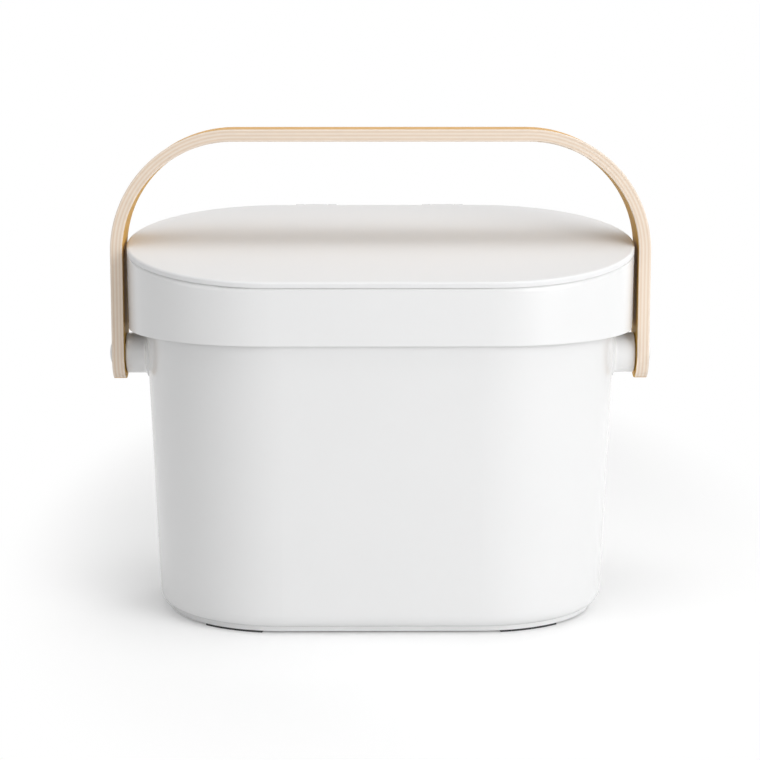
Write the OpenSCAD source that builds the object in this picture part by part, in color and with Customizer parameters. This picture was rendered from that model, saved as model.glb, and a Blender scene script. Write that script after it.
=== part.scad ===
// Compost caddy: a tapered bucket of obround plan on four rubber pads, a collar with a
// sloping rim that traps the bag, a thin hinged lid plate, and a bail handle of bent
// laminated wood on two shoulder screws. Front faces -Y, floor at Z = 0.

/* [Bucket] */
// Length of the straight walls between the two round ends
bucket_straight = 97; // [70:1:130]
// Radius of the round ends, measured at floor level
bucket_radius = 64.4; // [50:0.1:80]
// Outward lean of the walls in degrees
bucket_draft = 2.26; // [0.5:0.01:4]
// Height of the bucket's rim above the floor
bucket_h = 165; // [120:1:220]
// Thickness of the bucket's wall
wall_t = 2.4; // [1.6:0.1:3.2]
// Thickness of the bucket's floor
floor_t = 2.6; // [1.8:0.1:4]
// Radius between the wall and the underside
base_fillet = 7; // [5.5:0.1:10]
// Chamfer on the bucket's rim
rim_chamfer = 0.6; // [0.2:0.1:0.7]

/* [Foot] */
// Set-back of the foot ring from the wall at floor level
foot_inset = 5; // [3:0.1:6]
// Width of the foot ring
foot_w = 6; // [4:0.1:9]
// Height of the foot ring above the pads
foot_h = 2; // [1:0.1:4]
// Thickness of the rubber pads
pad_t = 1; // [0.6:0.1:2.5]
// Set-back of a pad from each edge of the foot ring
pad_margin = 0.1; // [0:0.05:0.6]
// Angle where each pad starts, from straight ahead, in degrees
pad_start = 10; // [0:1:20]
// Angle where each pad ends, in degrees
pad_end = 41; // [30:1:70]

/* [Collar] */
// Length of the collar's skirt below the bucket's rim
collar_drop = 20.4; // [18:0.1:32]
// Distance from the bucket's wall to the collar's face at the skirt's lower edge
collar_overhang = 3.4; // [3.2:0.1:6]
// Extra straight length of the collar past the bucket's, at each end
collar_end_extra = 5.4; // [2:0.1:8]
// Outward lean of the collar's wall in degrees
collar_draft = 0.6; // [0:0.05:1.5]
// Thickness of the collar's wall
collar_t = 2.1; // [1.4:0.1:2.4]
// Thickness of the web that rests on the bucket's rim
web_t = 2; // [1.4:0.1:3]
// Thickness of the lip that holds the bag inside the bucket
lip_t = 1.8; // [1.2:0.1:3]
// Depth of that lip below the bucket's rim
lip_drop = 14; // [8:0.5:20]
// Room for the bag between the lip and the bucket's wall
bag_room = 1; // [0.6:0.1:2]
// Radius of the collar's top edge
collar_edge = 1.6; // [0.6:0.1:1.8]

/* [Lid] */
// Slope of the rim and the lid, down to the front, in degrees
lid_slope = 9.37; // [4:0.01:12]
// Height of the lid's upper face above the bucket's rim, halfway back
lid_rise = 22.6; // [22:0.1:34]
// Thickness of the lid plate
lid_t = 2.8; // [2.2:0.1:4]
// Gap between the lid's underside and the collar's rim
lid_gap = 0.2; // [0.2:0.05:1]
// Distance that the lid stands out past the collar's rim
lid_overhang = 0; // [0:0.1:0.5]
// Radius of the lid's upper edge
lid_edge = 1.1; // [0.4:0.1:1.2]
// Height of the locating rib under the lid
rib_h = 5; // [3:0.1:6]
// Thickness of the locating rib
rib_t = 1.6; // [1:0.1:2.5]
// Clearance from the rib to the inside of the collar, at the back
rib_clearance = 1.6; // [1.4:0.1:3]
// Width of the seal
seal_w = 1.5; // [1:0.1:1.6]
// Depth of the seal's groove in the lid
seal_groove = 1; // [0.5:0.1:1.4]
// Set-back of the seal from the collar's outer edge
seal_inset = 0.4; // [0.2:0.1:0.6]
// Gap left under the seal when the lid is closed
seal_gap = 0.1; // [0.05:0.05:0.2]

/* [Lid hinge] */
// Distance of each hinge from the middle
hinge_x = 34; // [24:1:38]
// Width of the lid's knuckle
knuckle_w = 12; // [8:0.5:16]
// Width of each collar lug beside the knuckle
lug_w = 4.5; // [3:0.5:6]
// Side gap between a knuckle and a lug
hinge_side_gap = 0.4; // [0.2:0.1:0.8]
// Outer radius of the knuckles and lugs
knuckle_r = 3.1; // [2.6:0.1:3.2]
// Diameter of the hinge pins
pin_d = 3; // [2:0.1:3.4]
// Radial clearance of a knuckle on its pin
pin_clearance = 0.05; // [0.02:0.01:0.1]
// Distance of the hinge axis behind the collar's rim
hinge_out = 3.8; // [3.7:0.1:5]
// Depth of the hinge axis below the collar's rim
hinge_drop = 0.9; // [0.8:0.1:2]
// Height of the web under each lug
lug_web_h = 9; // [6:0.5:14]
// Distance from the collar's rim down to the top of each web
lug_web_step = 0.4; // [0.2:0.1:0.8]

/* [Handle] */
// Clearance between the collar and the strap on each side
handle_clearance = 1.3; // [0.8:0.1:4]
// Height of the finger gap between the lid and the strap
grip_h = 50.5; // [42:0.5:80]
// Thickness of the laminated strap
strap_t = 6.1; // [4:0.1:9]
// Width of the strap
strap_w = 26; // [20:0.5:34]
// Outer radius of the strap's bends
bend_r = 61.5; // [40:0.5:70]
// Radius on the strap's long edges
strap_edge = 0.6; // [0.2:0.1:1]

/* [Handle pivot] */
// Diameter of the bosses on the bucket
boss_d = 20.4; // [15:0.1:24]
// Distance from the top of a boss to the collar's lower edge
boss_clearance = 3.7; // [0.6:0.05:4]
// Chamfer on a boss's outer edge
boss_chamfer = 0.4; // [0.3:0.1:1.5]
// Radius between a boss and the wall
boss_fillet = 1.8; // [0.8:0.1:2.5]
// Gap between a boss's rim and the strap
boss_gap = 0.5; // [0.5:0.05:2]
// Room round the spacer washer in the boss's recess
recess_room = 0.2; // [0.1:0.1:0.4]
// Thickness of the spacer washer in the recess
spacer_t = 1.2; // [0.8:0.1:2]
// Diameter of the spacer washer
spacer_d = 17; // [15:0.5:18]
// Height of the spring washer
spring_h = 0.45; // [0.4:0.05:0.8]
// Sheet thickness of the spring washer
spring_t = 0.25; // [0.15:0.05:0.3]
// Diameter of the spring washer and of the bush's flange
flange_d = 14; // [12:0.5:15]
// Thickness of the bush's flange
flange_t = 0.4; // [0.3:0.1:0.8]
// Outer diameter of the bush
bush_d = 11; // [10:0.1:12]
// Diameter of the screw's shoulder
shoulder_d = 8; // [6.5:0.1:9]
// Radial clearance of the bush on the shoulder
bush_clearance = 0.05; // [0.02:0.01:0.1]
// Side play of the strap on the shoulder, at each face
side_play = 0.05; // [0.02:0.01:0.2]
// Thickness of the washer under the screw's head
head_washer_t = 0.3; // [0.2:0.1:0.6]
// Diameter of the screw's head
head_d = 14.5; // [13:0.1:18]
// Height of the screw's domed head
head_h = 1.9; // [1:0.1:3]
// Width across the flats of the screw's hexagonal socket
socket_af = 4; // [3:0.1:5]
// Depth of the hexagonal socket
socket_depth = 2.4; // [1.5:0.1:4]
// Diameter of the screw's threaded end
screw_d = 5; // [4:0.1:5.5]
// Length of the screw's threaded end
screw_l = 7.5; // [5:0.5:8]
// Outer diameter of the threaded insert
insert_d = 7; // [6.4:0.1:9]
// Length of the threaded insert
insert_l = 8.5; // [8:0.1:9]
// Depth of the ring groove round the insert
insert_groove = 0.5; // [0.2:0.1:0.6]
// Width of that groove
insert_groove_w = 2; // [1:0.1:3]

/* [Hidden] */
$fn = 96;
LEFT = -1;
RIGHT = 1;
FRONT = -1;
BACK = 1;
// Distance that a cutting body reaches past what it cuts
past = 1;

// Bucket heights and radii
base_z = pad_t + foot_h;
function bucket_r(z) = bucket_radius + z * tan(bucket_draft);

// Collar heights and radii
collar_z = bucket_h - collar_drop;
collar_straight = bucket_straight + 2 * collar_end_extra;
collar_foot_r = bucket_r(collar_z) + collar_overhang;
function collar_r(z) = collar_foot_r + (z - collar_z) * tan(collar_draft);
lip_r = bucket_r(bucket_h - lip_drop) - wall_t - bag_room;

// The rim's plane and the lid, whose frame tilts about the X axis at lid_z
lid_z = bucket_h + lid_rise;
rim_w = -(lid_t + lid_gap);
rim_z = lid_z + rim_w / cos(lid_slope);
// Middle of the rim in the tilted frame
rim_v = rim_w * tan(lid_slope);
rim_half_length = collar_straight / 2 + collar_r(rim_z);
// Radius and straight length, in the tilted plane, of an outline set out from the collar's rim
function rim_radius(out) = (collar_r(rim_z) + out) / cos(lid_slope);
function rim_straight(out) = 2 * (rim_half_length + out - rim_radius(out));
// A height that clears everything above the rim
above = collar_straight;

// Hinge axis in the tilted frame, and in the model's own frame
hinge_v = rim_v + rim_radius(0) + hinge_out;
hinge_w = rim_w - hinge_drop;

// Handle and pivot, measured outward from the middle along X. The strap's place is rounded to
// 0.01, so that its bar, bends and legs meet face to face
strap_in = round((rim_half_length + handle_clearance) * 100) / 100;
strap_out = strap_in + strap_t;
strap_top = lid_z + grip_h + strap_t;
pivot_z = collar_z - boss_clearance - boss_d / 2;
boss_end = strap_in - boss_gap;
// Floor of the recess in each boss
boss_x = strap_in - flange_t - side_play - spring_h - spacer_t;
spacer_x = boss_x + spacer_t;
flange_x = strap_in - flange_t;
head_washer_x = strap_out + side_play;
head_x = head_washer_x + head_washer_t;
bend_x = strap_out - bend_r;
bend_z = strap_top - bend_r;

// ---- Shapes that repeat ----

// The direction at an angle in the plane
function dir(a) = [cos(a), sin(a)];

// What lies outside a circle of radius r, between the angles a and b
module corner_cut(r, a, b) {
    difference() {
        polygon([[0, 0], 3 * r * dir(a), 4.5 * r * dir((a + b) / 2), 3 * r * dir(b)]);
        circle(r = r);
    }
}

// A profile (x outward, y up) carried round an obround: revolved at the ends, drawn along the
// sides. Half the straight length is rounded to 0.01, so that the stretches meet face to face.
module obround_sweep(straight) {
    half = round(straight * 50) / 100;
    for (side = [LEFT, RIGHT])
        translate([side * half, 0, 0])
            rotate([0, 0, -90 * side]) rotate_extrude(angle = 180) children();
    rotate([90, 0, 90]) linear_extrude(height = 2 * half, center = true) {
        children();
        mirror([1, 0]) children();
    }
}

// Half the section of a solid with leaning walls and a rounded foot
module drafted_profile(radius, lean, low, high, fillet) {
    k = tan(lean);
    cz = low + fillet;
    cx = radius + k * cz - fillet / cos(lean);
    difference() {
        polygon([[0, low], [radius + k * low, low], [radius + k * high, high], [0, high]]);
        translate([cx, cz]) corner_cut(fillet, -90, -lean);
    }
}

// The tilted frame of the rim: X across, Y up the slope, Z square to it
module tilted() {
    translate([0, 0, lid_z]) rotate([lid_slope, 0, 0]) children();
}

// A profile (x up the slope, y square to it) drawn from x0 to x1
module drawn_x(x0, x1) {
    translate([x0, 0, 0]) rotate([90, 0, 90]) linear_extrude(height = x1 - x0) children();
}

// The frame of one pivot: Z runs outward along the axis, measured from the middle
module pivot(side) {
    translate([0, 0, pivot_z]) rotate([0, 90 * side, 0]) children();
}

// A flat ring on the pivot's axis, from x0 to x1
module pivot_ring(side, outer_d, inner_d, x0, x1) {
    pivot(side) translate([0, 0, x0]) difference() {
        cylinder(d = outer_d, h = x1 - x0);
        translate([0, 0, -past]) cylinder(d = inner_d, h = x1 - x0 + 2 * past);
    }
}

// ---- Bucket ----

module bucket_cavity() {
    top_r = bucket_r(bucket_h) - wall_t;
    obround_sweep(bucket_straight) {
        drafted_profile(bucket_radius - wall_t, bucket_draft, base_z + floor_t, bucket_h + past,
                        base_fillet - wall_t);
        polygon([[0, bucket_h - rim_chamfer], [top_r, bucket_h - rim_chamfer],
                 [top_r + rim_chamfer + past, bucket_h + past], [0, bucket_h + past]]);
    }
}

module bucket_outside() {
    rim_r = bucket_r(bucket_h);
    ring_out = bucket_radius - foot_inset;
    obround_sweep(bucket_straight) {
        difference() {
            drafted_profile(bucket_radius, bucket_draft, base_z, bucket_h, base_fillet);
            polygon([[rim_r - rim_chamfer, bucket_h], [rim_r + past, bucket_h + past],
                     [rim_r + past, bucket_h - rim_chamfer - past]]);
        }
        translate([ring_out - foot_w, pad_t]) square([foot_w, foot_h + floor_t / 2]);
    }
}

// One boss with a rounded root and a chamfered outer edge, as a solid
module boss(side) {
    root_x = bucket_straight / 2 + bucket_r(pivot_z);
    inner_x = root_x - boss_d / 2;
    r = boss_d / 2;
    pivot(side) rotate_extrude() difference() {
        polygon([[0, inner_x], [r + boss_fillet, inner_x], [r + boss_fillet, root_x + boss_fillet],
                 [r, root_x + boss_fillet], [r, boss_end - boss_chamfer],
                 [r - boss_chamfer, boss_end], [0, boss_end]]);
        translate([r + boss_fillet, root_x + boss_fillet]) circle(r = boss_fillet);
    }
}

module bucket() {
    color("white") difference() {
        union() {
            bucket_outside();
            for (side = [LEFT, RIGHT]) boss(side);
        }
        bucket_cavity();
        // In each boss, the insert's hole and the recess for the washers
        for (side = [LEFT, RIGHT]) {
            pivot(side) translate([0, 0, boss_x - insert_l]) cylinder(d = insert_d, h = insert_l + past);
            pivot(side) translate([0, 0, boss_x])
                cylinder(d = spacer_d + 2 * recess_room, h = boss_end - boss_x + past);
        }
    }
}

// One rubber pad under the foot ring, at the front or back of one end
module foot_pad(side, face) {
    outer = bucket_radius - foot_inset - pad_margin;
    inner = bucket_radius - foot_inset - foot_w + pad_margin;
    first = 90 * face - side * face * pad_start;
    last = 90 * face - side * face * pad_end;
    color("dimgray") translate([side * bucket_straight / 2, 0, 0])
        rotate([0, 0, min(first, last)]) rotate_extrude(angle = pad_end - pad_start)
            translate([inner, 0]) square([outer - inner, pad_t]);
}

// ---- Collar ----

// The collar's outer wall as a solid block, cut to the sloping rim with a rounded edge
module collar_block() {
    high = above + lid_z;
    // Below its rounded edge the cutting block flares out, clear of the wall
    flare = 20;
    edge_c = [rim_radius(0) - collar_edge * cos(flare), rim_w - collar_edge];
    side_p = edge_c + collar_edge * dir(flare);
    low_w = -above;
    intersection() {
        obround_sweep(collar_straight)
            polygon([[0, collar_z], [collar_r(collar_z), collar_z], [collar_r(high), high], [0, high]]);
        tilted() translate([0, rim_v, 0]) obround_sweep(rim_straight(0)) difference() {
            polygon([[0, low_w], [side_p[0] + (side_p[1] - low_w) * tan(flare), low_w],
                     side_p - [(rim_w - side_p[1]) * tan(flare), side_p[1] - rim_w], [0, rim_w]]);
            translate(edge_c) corner_cut(collar_edge, flare, 90);
        }
    }
}

// One hinge lug on the back of the collar, from x0 to x1
module lug(x0, x1) {
    wall_v = hinge_v - hinge_out - collar_t / 2;
    web_top = rim_w - lug_web_step;
    tilted() drawn_x(x0, x1) {
        translate([hinge_v, hinge_w]) circle(r = knuckle_r);
        polygon([[wall_v, web_top], [hinge_v - knuckle_r / 2, web_top], [hinge_v, hinge_w],
                 [hinge_v, hinge_w - knuckle_r], [wall_v, hinge_w - knuckle_r - lug_web_h]]);
    }
}

module collar() {
    near = knuckle_w / 2 + hinge_side_gap;
    skirt_z = collar_z - past;
    well_z = bucket_h + web_t;
    well_top = lid_z + above;
    color("white") difference() {
        union() {
            difference() {
                collar_block();
                // Room for the bucket's rim, under the web
                obround_sweep(collar_straight)
                    polygon([[0, skirt_z], [collar_r(skirt_z) - collar_t, skirt_z],
                             [collar_r(bucket_h) - collar_t, bucket_h], [0, bucket_h]]);
                // The well above the web
                obround_sweep(collar_straight)
                    polygon([[0, well_z], [collar_r(well_z) - collar_t, well_z],
                             [collar_r(well_top) - collar_t, well_top], [0, well_top]]);
            }
            // The lip that holds the bag
            obround_sweep(bucket_straight)
                translate([lip_r - lip_t, bucket_h - lip_drop]) square([lip_t, lip_drop + web_t / 2]);
            for (side = [LEFT, RIGHT], end = [LEFT, RIGHT])
                lug(side * hinge_x + min(end * near, end * (near + lug_w)),
                    side * hinge_x + max(end * near, end * (near + lug_w)));
        }
        // The mouth
        obround_sweep(bucket_straight)
            translate([0, bucket_h - lip_drop - past])
                square([lip_r - lip_t, lip_drop + web_t + 2 * past]);
        tilted() translate([0, hinge_v, hinge_w]) rotate([0, 90, 0])
            cylinder(d = pin_d, h = 2 * hinge_x + knuckle_w + 4 * lug_w, center = true);
    }
}

// ---- Lid ----

module lid() {
    r = rim_radius(lid_overhang);
    rib_r = rim_radius(-collar_t) - rib_clearance;
    arm_v = hinge_v - hinge_out - collar_t;
    color("white") tilted() difference() {
        union() {
            translate([0, rim_v, 0]) {
                obround_sweep(rim_straight(lid_overhang)) difference() {
                    polygon([[0, -lid_t], [r, -lid_t], [r, 0], [0, 0]]);
                    translate([r - lid_edge, -lid_edge]) corner_cut(lid_edge, 0, 90);
                }
                obround_sweep(rim_straight(lid_overhang))
                    translate([rib_r - rib_t, -lid_t - rib_h]) square([rib_t, rib_h + lid_t / 2]);
            }
            for (side = [LEFT, RIGHT])
                drawn_x(side * hinge_x - knuckle_w / 2, side * hinge_x + knuckle_w / 2) {
                    translate([hinge_v, hinge_w]) circle(r = knuckle_r);
                    polygon([[arm_v, -lid_t], [hinge_v, -lid_t], [hinge_v, hinge_w + knuckle_r],
                             [arm_v, hinge_w + knuckle_r]]);
                }
        }
        translate([0, rim_v, 0]) seal_ring(-lid_t + seal_groove, -lid_t - past);
        translate([0, hinge_v, hinge_w]) rotate([0, 90, 0])
            cylinder(d = pin_d + 2 * pin_clearance, h = 2 * hinge_x + 2 * knuckle_w, center = true);
    }
}

// The seal's ring between two levels of the tilted frame
module seal_ring(top_w, low_w) {
    r = rim_radius(-seal_inset);
    difference() {
        obround_sweep(rim_straight(-seal_inset)) translate([0, low_w]) square([r, top_w - low_w]);
        obround_sweep(rim_straight(-seal_inset))
            translate([0, low_w - past]) square([r - seal_w, top_w - low_w + 2 * past]);
    }
}

module lid_seal() {
    color("white") tilted() translate([0, rim_v, 0]) seal_ring(-lid_t + seal_groove, rim_w + seal_gap);
}

module hinge_pin(side) {
    color("silver") tilted() translate([side * hinge_x, hinge_v, hinge_w]) rotate([0, 90, 0])
        cylinder(d = pin_d, h = knuckle_w + 2 * (hinge_side_gap + lug_w), center = true);
}

// ---- Handle ----

// The strap's section: x through its thickness, y across its width
module strap_section() {
    t = strap_t / 2;
    w = strap_w / 2;
    difference() {
        square([strap_t, strap_w], center = true);
        for (sx = [-1, 1], sy = [-1, 1])
            translate([sx * (t - strap_edge), sy * (w - strap_edge)])
                corner_cut(strap_edge, atan2(sy, sx) - 45, atan2(sy, sx) + 45);
    }
}

module handle_strap() {
    mid_x = strap_in + strap_t / 2;
    low_z = pivot_z - strap_w / 2;
    color("burlywood") difference() {
        union() {
            translate([0, 0, strap_top - strap_t / 2]) rotate([0, 90, 0])
                linear_extrude(height = 2 * bend_x, center = true) strap_section();
            for (side = [LEFT, RIGHT]) {
                mirror([side < 0 ? 1 : 0, 0, 0]) translate([bend_x, 0, bend_z]) rotate([90, 0, 0])
                    rotate_extrude(angle = 90) translate([bend_r - strap_t / 2, 0]) strap_section();
                translate([side * mid_x, 0, low_z]) linear_extrude(height = bend_z - low_z) strap_section();
            }
        }
        // Round ends about the pivot's axis, and the bores for the bushes
        for (side = [LEFT, RIGHT]) {
            pivot(side) translate([0, 0, strap_in - past]) difference() {
                translate([-strap_w * (1 - side) / 2, -strap_w, 0])
                    cube([strap_w, 2 * strap_w, strap_t + 2 * past]);
                translate([0, 0, -past]) cylinder(d = strap_w, h = strap_t + 4 * past);
            }
            pivot(side) translate([0, 0, strap_in - past]) cylinder(d = bush_d, h = strap_t + 2 * past);
        }
    }
}

// ---- Pivot hardware ----

module strap_bush(side) {
    bore = shoulder_d + 2 * bush_clearance;
    color("goldenrod") {
        pivot(side) translate([0, 0, flange_x]) difference() {
            union() {
                cylinder(d = flange_d, h = flange_t);
                cylinder(d = bush_d, h = flange_t + strap_t);
            }
            translate([0, 0, -past]) cylinder(d = bore, h = flange_t + strap_t + 2 * past);
        }
    }
}

module pivot_screw(side) {
    dome_r = (pow(head_d / 2, 2) + pow(head_h, 2)) / (2 * head_h);
    color("lightgray") pivot(side) difference() {
        union() {
            translate([0, 0, boss_x - screw_l]) cylinder(d = screw_d, h = screw_l + spacer_t);
            translate([0, 0, boss_x]) cylinder(d = shoulder_d, h = head_x - boss_x + head_h / 2);
            intersection() {
                translate([0, 0, head_x]) cylinder(d = head_d, h = head_h + past);
                translate([0, 0, head_x + head_h - dome_r]) sphere(r = dome_r);
            }
        }
        translate([0, 0, head_x + head_h - socket_depth])
            cylinder(d = socket_af / cos(30), h = socket_depth + past, $fn = 6);
    }
}

module head_washer(side) {
    color("white") pivot_ring(side, flange_d, shoulder_d, head_washer_x, head_x);
}

module spacer_washer(side) {
    color("dimgray") pivot_ring(side, spacer_d, shoulder_d, boss_x, spacer_x);
}

// A dished ring: its inner edge bears on the spacer and its outer edge on the bush's flange
module spring_washer(side) {
    inner = shoulder_d / 2 + bush_clearance;
    outer = flange_d / 2;
    color("silver") pivot(side) translate([0, 0, spacer_x]) rotate_extrude()
        polygon([[inner, 0], [outer, spring_h - spring_t], [outer, spring_h], [inner, spring_t]]);
}

module threaded_insert(side) {
    r = insert_d / 2;
    low = (insert_l - insert_groove_w) / 2;
    high = (insert_l + insert_groove_w) / 2;
    color("goldenrod") pivot(side) translate([0, 0, boss_x - insert_l]) rotate_extrude()
        polygon([[screw_d / 2, 0], [r, 0], [r, low], [r - insert_groove, low],
                 [r - insert_groove, high], [r, high], [r, insert_l], [screw_d / 2, insert_l]]);
}

bucket();
collar();
lid();
lid_seal();
hinge_pin(LEFT);  // hinge_pin_left
hinge_pin(RIGHT);  // hinge_pin_right
handle_strap();
strap_bush(LEFT);  // strap_bush_left
strap_bush(RIGHT);  // strap_bush_right
pivot_screw(LEFT);  // pivot_screw_left
pivot_screw(RIGHT);  // pivot_screw_right
head_washer(LEFT);  // head_washer_left
head_washer(RIGHT);  // head_washer_right
spacer_washer(LEFT);  // spacer_washer_left
spacer_washer(RIGHT);  // spacer_washer_right
spring_washer(LEFT);  // spring_washer_left
spring_washer(RIGHT);  // spring_washer_right
threaded_insert(LEFT);  // threaded_insert_left
threaded_insert(RIGHT);  // threaded_insert_right
foot_pad(LEFT, FRONT);  // foot_pad_front_left
foot_pad(RIGHT, FRONT);  // foot_pad_front_right
foot_pad(LEFT, BACK);  // foot_pad_back_left
foot_pad(RIGHT, BACK);  // foot_pad_back_right
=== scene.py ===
# %% [markdown]
# # A compost caddy in white plastic and bent wood
# The object is a kitchen compost caddy. A tapered white bucket carries a collar with a sloping
# rim. A thin lid hinges at the back of the collar, and a bail handle of bent laminated wood
# swings on two screws at the sides.
#
# The solids come from a CAD model and are already right in shape, so this lesson doesn't model
# them again. It gives each one the finish of the real material, then sets up the floor, the
# light and the camera. All sizes are in metres, the front faces -Y and the floor is at Z = 0.

# %% Load the frame
import math

import bpy
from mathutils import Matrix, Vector


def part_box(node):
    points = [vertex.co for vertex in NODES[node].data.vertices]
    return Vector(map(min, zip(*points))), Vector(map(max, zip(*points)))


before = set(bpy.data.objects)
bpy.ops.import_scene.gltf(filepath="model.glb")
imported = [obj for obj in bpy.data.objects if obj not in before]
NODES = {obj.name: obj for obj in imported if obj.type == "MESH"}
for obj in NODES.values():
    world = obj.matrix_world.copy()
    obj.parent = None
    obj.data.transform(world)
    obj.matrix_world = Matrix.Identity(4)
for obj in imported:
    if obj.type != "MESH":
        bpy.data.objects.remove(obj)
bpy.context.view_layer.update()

# %% [markdown]
# ## The camera
# The viewpoint was worked out from the photograph: about 1.1 m in front of the caddy, 0.3 m up
# and looking down by 9.4 degrees, with a long lens, so the sides hardly converge. The caddy
# stands turned by about half a degree, which here is done by moving the camera round it. The
# lens was measured in pixels of the picture, so the sensor's width turns it into millimetres.

# %% Camera
CAMERA_DISTANCE = 1.1023
CAMERA_HEIGHT = 0.2983
CAMERA_SHIFT = 0.0003
LOOK_DOWN = math.radians(9.374)
ORBIT = math.radians(-0.464)
SENSOR = 36.0
FOCAL_PIXELS = 2189.4
PICTURE_WIDTH = 760

bpy.ops.object.select_all(action="DESELECT")
bpy.ops.object.camera_add(
    location=(
        CAMERA_DISTANCE * math.sin(ORBIT) - CAMERA_SHIFT,
        -CAMERA_DISTANCE * math.cos(ORBIT),
        CAMERA_HEIGHT,
    ),
    rotation=(math.pi / 2 - LOOK_DOWN, 0, ORBIT),
)
camera = bpy.context.object
camera.name = "studio_camera"
camera.data.sensor_width = SENSOR
camera.data.lens = FOCAL_PIXELS / PICTURE_WIDTH * SENSOR
bpy.context.scene.camera = camera
bpy.context.scene.view_settings.view_transform = "Standard"
print("lens:", round(camera.data.lens, 1), "mm")

# %% [markdown]
# ## Shader sums as Python
# A material is a network of small nodes. Wiring each one by hand is slow to read, so this class
# wraps one value of the network. Python's own + - * / on it add the Math nodes, and `node` adds
# any other kind of node, with its settings first and then what goes into its sockets.


# %% A value in a material
class Value:
    """One output socket in a material, with arithmetic that adds Math nodes."""

    def __init__(self, tree, socket=None):
        self.tree = tree
        self.socket = socket

    def node(self, kind, settings=None, inputs=None, output=0):
        made = self.tree.nodes.new(kind)
        for key, setting in (settings or {}).items():
            setattr(made, key, setting)
        for key, value in (inputs or {}).items():
            if isinstance(value, Value):
                self.tree.links.new(value.socket, made.inputs[key])
            else:
                made.inputs[key].default_value = value
        return Value(self.tree, made.outputs[output]) if made.outputs else None

    def maths(self, operation, first, second=0.0):
        return self.node("ShaderNodeMath", {"operation": operation}, {0: first, 1: second})

    def __add__(self, other):
        return self.maths("ADD", self, other)

    def __radd__(self, other):
        return self.maths("ADD", other, self)

    def __sub__(self, other):
        return self.maths("SUBTRACT", self, other)

    def __rsub__(self, other):
        return self.maths("SUBTRACT", other, self)

    def __mul__(self, other):
        return self.maths("MULTIPLY", self, other)

    def __truediv__(self, other):
        return self.maths("DIVIDE", self, other)

    def __abs__(self):
        return self.maths("ABSOLUTE", self)

    def above(self, low):
        return self.maths("MAXIMUM", self, low)

    def below(self, high):
        return self.maths("MINIMUM", self, high)

    def cosine(self):
        return self.maths("COSINE", self)

    def root(self):
        return self.maths("SQRT", self)

    def smooth(self, low, high):
        """0 below low, 1 above high, and a soft step between."""
        return self.node(
            "ShaderNodeMapRange",
            {"interpolation_type": "SMOOTHSTEP"},
            {"Value": self, "From Min": low, "From Max": high},
        )

    def blend(self, first, second):
        """A colour that goes from first to second as this value goes from 0 to 1."""
        return self.node(
            "ShaderNodeMix", {"data_type": "RGBA"}, {0: self, 6: first, 7: second}, output=2
        )

    def axes(self):
        """The x, y and z of this position, as three values."""
        return [self.node("ShaderNodeSeparateXYZ", {}, {0: self}, output=i) for i in range(3)]

    def noise(self, scale, detail):
        """A cloudy pattern round 0.5 over this position."""
        return self.node("ShaderNodeTexNoise", {}, {"Vector": self, "Scale": scale, "Detail": detail})

    def bump(self, distance, strength, under=None):
        """The surface direction that this height gives, on top of another bump if there is one."""
        inputs = {"Height": self, "Distance": distance, "Strength": strength}
        if under is not None:
            inputs["Normal"] = under
        return self.node("ShaderNodeBump", {}, inputs)


# %% [markdown]
# ## Starting and ending a material
# Every material starts from the Object coordinates, which say where on the piece a point lies,
# and ends in the standard surface shader. `stretched` runs the axes of a position at different
# rates, which draws a noise out into streaks.


# %% Shared steps
def new_finish(name):
    """An empty material, and the position of each point on the piece."""
    material = bpy.data.materials.new(name)
    material.use_nodes = True
    material.node_tree.nodes.clear()
    return material, Value(material.node_tree).node("ShaderNodeTexCoord", output="Object")


def close_finish(place, sockets):
    """Ends a material with the standard surface shader, its sockets set as given."""
    surface = place.node("ShaderNodeBsdfPrincipled", {}, sockets)
    place.node("ShaderNodeOutputMaterial", {}, {"Surface": surface})


def stretched(axes, per_metre):
    """A position whose three axes run at the given rates."""
    scaled = [axis * rate for axis, rate in zip(axes, per_metre)]
    return scaled[0].node("ShaderNodeCombineXYZ", {}, dict(enumerate(scaled)))


def dress(names, material):
    """Gives the named pieces one material in every slot."""
    for name in names:
        mesh = NODES[name].data
        mesh.materials.clear()
        mesh.materials.append(material)
    print(material.name, "on", ", ".join(names))


def pair(name):
    return [name + "_left", name + "_right"]


# %% [markdown]
# ## Moulded white plastic
# The bucket and the collar are injection-moulded in white plastic with a satin sheen: light
# runs softly down their round ends. A perfectly even surface would look like a computer model,
# so two bumps break it: a broad one, as walls that cooled unevenly have, and a fine one, as the
# mould's own surface leaves. Both are far too low to see as shapes. They only blur reflections.

# %% Moulded plastic
CLOUDS_PER_METRE = 9.0
WALL_WAVE = 0.00018
WALL_WAVE_STRENGTH = 0.25
PLASTIC_IOR = 1.49


def moulded_plastic(name, colours, roughness, grain_size, grain_height):
    material, place = new_finish(name)
    cloud = place.noise(CLOUDS_PER_METRE, 2.0)
    grain = place.noise(1 / grain_size, 3.0)
    wave = cloud.bump(WALL_WAVE, WALL_WAVE_STRENGTH)
    close_finish(place, {
        "Base Color": cloud.smooth(0.35, 0.65).blend(*colours),
        "Roughness": roughness + (grain - 0.5) * 0.12,
        "IOR": PLASTIC_IOR,
        "Normal": grain.bump(grain_height, 1.0, wave),
    })
    return material


WHITE = ((0.842, 0.844, 0.845, 1), (0.833, 0.835, 0.836, 1))
dress(["bucket", "collar"], moulded_plastic("satin_white_plastic", WHITE, 0.22, 0.0011, 0.0000015))

# %% [markdown]
# The lid is moulded in the same plastic, but the photograph shows no gloss on it. Its mould was
# etched to a fine matte grain, so the grain is smaller and deeper and the surface rougher.

# %% Lid plastic
LID_WHITE = ((0.843, 0.845, 0.850, 1), (0.834, 0.836, 0.841, 1))
dress(["lid"], moulded_plastic("matte_white_plastic", LID_WHITE, 0.52, 0.00045, 0.000022))

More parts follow.
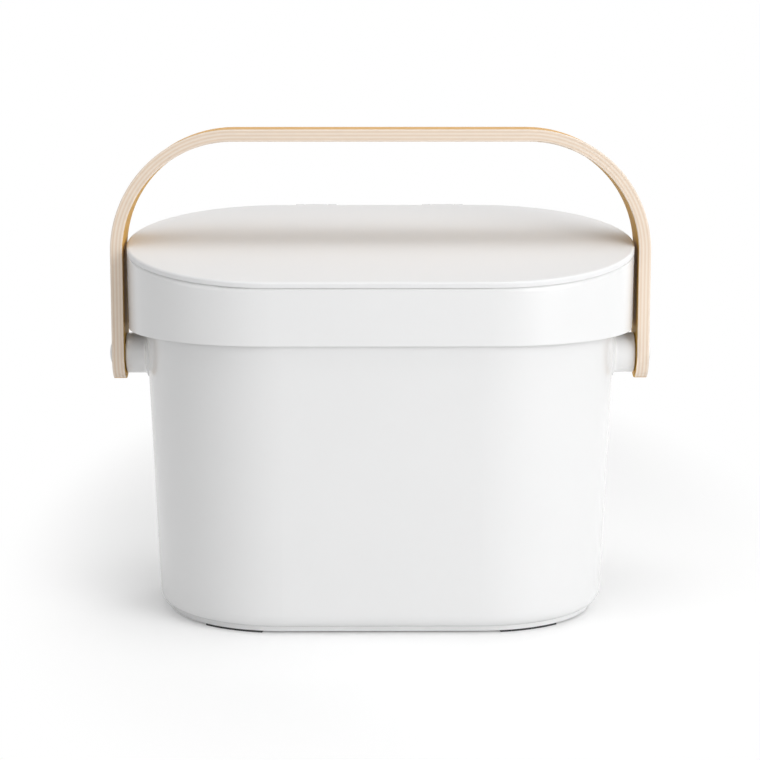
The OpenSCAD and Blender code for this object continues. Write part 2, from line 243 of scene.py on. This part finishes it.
# %% [markdown]
# ## Bent laminated wood
# The handle is a strap of seven veneers, glued and pressed over a former while they are soft.
# On the long edges the layers show as fine stripes, light and tan by turns, which follow every
# bend. The two faces are golden veneer with the grain running along the strap. The inner one is
# painted deeper and more saturated in colour: painted shade, for the shade and the light bounced
# between the wood that fall on the inside of the handle.
#
# The stripes need the depth of each point below the outer face. The strap is a bar, two quarter
# rings and two legs, so that depth is the bend's radius less the distance from the rounded
# path's inner corner. The same sum also gives the distance along the strap, for the grain.

# %% Depth and length along the strap
STRAP_THICK = 0.0061
BEND_RADIUS = 0.0615
strap_low, strap_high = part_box("handle_strap")
BEND_X = strap_high.x - BEND_RADIUS
BEND_Z = strap_high.z - BEND_RADIUS


def strap_measures(x, z):
    """The depth below the outer face and the length along the strap from its middle."""
    across = (abs(x) - BEND_X).above(0.0)
    up = (z - BEND_Z).above(0.0)
    reach = (across * across + up * up).root()
    turn = across.maths("ARCTAN2", across, up)
    along = abs(x).below(BEND_X) + turn * BEND_RADIUS + (BEND_Z - z).above(0.0)
    return BEND_RADIUS - reach, along


print("bend centre:", round(BEND_X, 4), round(BEND_Z, 4))

# %% [markdown]
# Two noises, both stretched along the strap, make the wood: wide streaks turn gold into amber,
# and fine pores draw darker veins. A cosine over the depth turns once for every two plies, which
# gives the stripes. The direction of the surface tells the edges from the faces: `skin` is 1 on
# a face and 0 on an edge, and only the faces have the pores' bump.

# %% Bentwood
PLIES = 7
STREAKS_PER_METRE = (24.0, 700.0, 500.0)
PORES_PER_METRE = (160.0, 2600.0, 2600.0)
PORE_DEPTH = 0.000012
EDGE_LIGHT = (0.86, 0.75, 0.64, 1)
EDGE_TAN = (0.79, 0.64, 0.505, 1)
OUTER_VENEER = ((0.77, 0.46, 0.155, 1), (0.67, 0.375, 0.12, 1))
# The inner veneer is a darker copy of the outer one: painted shade for the inside of the handle.
SHADED_INNER_VENEER = ((0.66, 0.39, 0.085, 1), (0.57, 0.32, 0.065, 1))
FACE_VEINS = (0.50, 0.26, 0.075, 1)


def bentwood():
    material, place = new_finish("bent_laminated_wood")
    x, y, z = place.axes()
    depth, along = strap_measures(x, z)
    streaks = stretched((along, y, depth), STREAKS_PER_METRE).noise(1.0, 3.0)
    pores = stretched((along, y, depth), PORES_PER_METRE).noise(1.0, 2.0)
    ply_turns = depth * (PLIES * math.pi / STRAP_THICK) - math.pi / 2
    stripe = (ply_turns.cosine() + (streaks - 0.5) * 0.6).smooth(-1.0, 1.0)
    edge = stripe.blend(EDGE_TAN, EDGE_LIGHT)
    # Painted shade: the inner face gets the darker copy of the veneer.
    inner = depth.smooth(0.4 * STRAP_THICK, 0.6 * STRAP_THICK)
    grain = streaks.smooth(0.34, 0.66)
    veneer = inner.blend(grain.blend(*OUTER_VENEER), grain.blend(*SHADED_INNER_VENEER))
    face = (pores.smooth(0.62, 0.74) * 0.45).blend(veneer, FACE_VEINS)
    sideways = abs(place.node("ShaderNodeTexCoord", output="Normal").axes()[1])
    skin = 1.0 - sideways.smooth(0.25, 0.45)
    close_finish(place, {
        "Base Color": skin.blend(edge, face),
        "Roughness": 0.55 + (pores - 0.5) * 0.2,
        "IOR": 1.5,
        "Specular IOR Level": 0.12,
        "Normal": (pores * skin).bump(PORE_DEPTH, 0.6),
    })
    return material


dress(["handle_strap"], bentwood())

# %% [markdown]
# ## Rubber
# The seal under the lid is white rubber and the four pads under the base are dark. Rubber has a
# dull, slightly dusty surface, which a fine noise in colour and roughness gives.

# %% Rubber
DUST_PER_METRE = 900.0
DUST_HEIGHT = 0.00004


def rubber(name, colours):
    material, place = new_finish(name)
    dust = place.noise(DUST_PER_METRE, 4.0)
    close_finish(place, {
        "Base Color": dust.smooth(0.3, 0.75).blend(*colours),
        "Roughness": 0.62 + dust * 0.25,
        "Normal": dust.bump(DUST_HEIGHT, 0.7),
    })
    return material


SEAL_WHITE = ((0.80, 0.80, 0.785, 1), (0.74, 0.74, 0.725, 1))
dress(["lid_seal"], rubber("soft_seal_rubber", SEAL_WHITE))
PAD_BLACK = ((0.022, 0.022, 0.024, 1), (0.06, 0.06, 0.06, 1))
PADS = [f"foot_pad_{end}_{side}" for end in ("front", "back") for side in ("left", "right")]
dress(PADS, rubber("pad_rubber", PAD_BLACK))

# %% [markdown]
# ## Turned metal
# The screws, bushes, inserts and spring washers are turned on a lathe, so fine rings run round
# the pivot's axis. That axis lies along X at the centre of the strap's round ends, so it is half
# the strap's width above their lowest point. The screws are lacquered white, so they aren't
# metallic to the light.

# %% Turned metal
PIVOT_Z = strap_low.z + strap_high.y
RING_WIDTH = 0.00022
RING_HEIGHT = 0.000006
WANDER_PER_METRE = 260.0


def turned_metal(name, colours, roughness, metallic=1.0):
    material, place = new_finish(name)
    _, y, z = place.axes()
    high = z - PIVOT_Z
    radius = (y * y + high * high).root()
    wander = place.noise(WANDER_PER_METRE, 3.0)
    rings = ((radius + wander * RING_WIDTH) * (2 * math.pi / RING_WIDTH)).cosine() * 0.5 + 0.5
    close_finish(place, {
        "Base Color": wander.smooth(0.3, 0.7).blend(*colours),
        "Roughness": roughness + (wander - 0.5) * 0.16 + rings * 0.03,
        "Metallic": metallic,
        "Normal": rings.bump(RING_HEIGHT, 0.5),
    })
    return material


BRASS = ((0.80, 0.60, 0.30, 1), (0.70, 0.51, 0.25, 1))
dress(pair("threaded_insert") + pair("strap_bush"), turned_metal("turned_brass", BRASS, 0.30))
STEEL = ((0.56, 0.55, 0.53, 1), (0.46, 0.45, 0.44, 1))
dress(pair("spring_washer"), turned_metal("tempered_steel", STEEL, 0.34))
LACQUER = ((0.74, 0.74, 0.725, 1), (0.69, 0.69, 0.68, 1))
dress(pair("pivot_screw"), turned_metal("lacquered_screw", LACQUER, 0.38, metallic=0.0))

# %% [markdown]
# The hinge pins are drawn wire, so their fine lines run along X instead of round it.

# %% Drawn wire
WIRE_LINES_PER_METRE = (40.0, 3000.0, 3000.0)


def drawn_wire(name, colours):
    material, place = new_finish(name)
    lines = stretched(place.axes(), WIRE_LINES_PER_METRE).noise(1.0, 3.0)
    close_finish(place, {
        "Base Color": lines.smooth(0.3, 0.7).blend(*colours),
        "Roughness": 0.26 + lines * 0.16,
        "Metallic": 1.0,
    })
    return material


dress(pair("hinge_pin"), drawn_wire("drawn_steel", STEEL))

# %% [markdown]
# ## Nylon
# The small washers are moulded nylon, which is a little waxy: natural white under the screw
# heads, and black in the recess at the end of each boss, where the handle presses on them.
# That black is painted shade: it stands for the dark of the narrow gap between boss and handle.

# %% Nylon
NATURAL = ((0.80, 0.79, 0.75, 1), (0.76, 0.75, 0.71, 1))
GAP_SHADE_BLACK = ((0.030, 0.028, 0.026, 1), (0.045, 0.043, 0.040, 1))
NYLON_GRAIN = (0.0006, 0.000008)
dress(pair("head_washer"), moulded_plastic("natural_nylon", NATURAL, 0.44, *NYLON_GRAIN))
# Painted shade: the black washers darken the gap between each boss and the handle.
dress(pair("spacer_washer"), moulded_plastic("black_nylon_gap_shade", GAP_SHADE_BLACK, 0.48, *NYLON_GRAIN))

# %% [markdown]
# ## The floor
# The caddy stands on a white studio floor. To rays that light the scene it is an ordinary pale
# surface. The camera sees the same surface with some glow added, so that it reaches pure white
# where no shadow falls. Away from the caddy it fades into the white background. This is painted
# light: outside an oval round the caddy, set to where the shadow should end, the floor is
# painted white, and the shadow with it.

# %% Floor
FLOOR_SIZE = 30.0
FLOOR_BOUNCE = 0.88
FLOOR_SEEN = 0.92
FLOOR_GLOW = 0.12
FADE_MIDDLE = (0.02, 0.20)
FADE_REACH = (0.24, 0.55)
FADE_START = 0.3


def grey(level):
    return (level, level, level, 1)


def straight_rays(start):
    """1 for rays that reach the camera directly, by a mirror or through glass, 0 for others."""
    kinds = ("Is Camera Ray", "Is Glossy Ray", "Is Transmission Ray")
    camera_ray, glossy_ray, glass_ray = [
        start.node("ShaderNodeLightPath", output=kind) for kind in kinds
    ]
    return (camera_ray + glossy_ray + glass_ray).below(1.0)


def floor_finish():
    material, place = new_finish("studio_floor")
    real = place.node("ShaderNodeBsdfDiffuse", {}, {"Color": grey(FLOOR_BOUNCE)})
    shown = place.node("ShaderNodeBsdfDiffuse", {}, {"Color": grey(FLOOR_SEEN)})
    glow = place.node("ShaderNodeEmission", {}, {"Color": grey(FLOOR_GLOW)})
    lit = place.node("ShaderNodeAddShader", {}, {0: shown, 1: glow})
    white = place.node("ShaderNodeEmission", {}, {"Color": grey(1)})
    right, back = [
        (axis - middle) / reach
        for axis, middle, reach in zip(place.axes(), FADE_MIDDLE, FADE_REACH)
    ]
    # Painted light: outside this oval the floor is painted white, which cuts the shadow off there.
    painted_white_fade = (right * right + back * back).smooth(FADE_START, 1.0)
    faded = place.node("ShaderNodeMixShader", {}, {0: painted_white_fade, 1: lit, 2: white})
    both = place.node("ShaderNodeMixShader", {}, {0: straight_rays(place), 1: real, 2: faded})
    place.node("ShaderNodeOutputMaterial", {}, {"Surface": both})
    return material


bpy.ops.object.select_all(action="DESELECT")
bpy.ops.mesh.primitive_plane_add(size=FLOOR_SIZE, location=(0, 0, 0))
floor = bpy.context.object
floor.name = "studio_floor"
floor.data.materials.append(floor_finish())
print("floor:", floor.name, FLOOR_SIZE, "m wide")

# %% [markdown]
# ## Lamps
# The photograph is lit by large soft lights. The strongest stand low on the right, one in front
# and one behind, so the left end lies in soft shade and the shadow falls to the left. Two hang
# overhead, for the lid and the floor, and weak ones at the front left keep the shade open. Last
# comes a small one at the left, for a trace of gloss on the collar's edge.
#
# Each lamp is given by its turn round the caddy from the front, its rise above the floor, both
# in degrees, and its level.

# %% Softboxes
AIM = Vector((0, 0, 0.12))
LAMP_DISTANCE = 1.5
LAMP_WIDTH = 0.9
FULL_LEVEL = math.pi**2 * LAMP_DISTANCE**2
LAMPS = {
    "right_low": (45, 12, 0.410),
    "right_high": (45, 35, 0.105),
    "right_top": (60, 58, 0.050),
    "back_right": (140, 12, 0.300),
    "overhead": (0, 89, 0.200),
    "overhead_front": (0, 75, 0.158),
    "left_low": (-60, 12, 0.072),
    "front_left": (-25, 12, 0.030),
}
GLINT = (-93, 38, 0.030)
GLINT_WIDTH = 0.25


def softbox(name, turn, rise, level, width=LAMP_WIDTH):
    """A round soft light aimed at the caddy. Level 1 alone shows a facing colour as written."""
    turn, rise = math.radians(turn), math.radians(rise)
    way = Vector((
        math.sin(turn) * math.cos(rise),
        -math.cos(turn) * math.cos(rise),
        math.sin(rise),
    ))
    bpy.ops.object.light_add(type="AREA", location=AIM + LAMP_DISTANCE * way)
    lamp = bpy.context.object
    lamp.name = "softbox_" + name
    lamp.data.shape = "DISK"
    lamp.data.size = width
    lamp.data.energy = level * FULL_LEVEL
    lamp.rotation_euler = (-way).to_track_quat("-Z", "Y").to_euler()
    return lamp


lamps = [softbox(name, *settings) for name, settings in LAMPS.items()]
lamps.append(softbox("glint", *GLINT, width=GLINT_WIDTH))
print("softboxes:", [lamp.name for lamp in lamps])

# %% [markdown]
# ## The room
# The world gives the even light that a white room throws back. The camera and mirror rays see
# it as plain white.

# %% World
FILL = 0.30


def studio_world():
    world = bpy.data.worlds.new("studio")
    world.use_nodes = True
    world.node_tree.nodes.clear()
    start = Value(world.node_tree)
    room = start.node("ShaderNodeBackground", {}, {"Color": grey(1), "Strength": FILL})
    white = start.node("ShaderNodeBackground", {}, {"Color": grey(1), "Strength": 1.0})
    both = start.node("ShaderNodeMixShader", {}, {0: straight_rays(start), 1: room, 2: white})
    start.node("ShaderNodeOutputWorld", {}, {"Surface": both})
    return world


bpy.context.scene.world = studio_world()
print("world:", bpy.context.scene.world.name, "fill:", FILL)
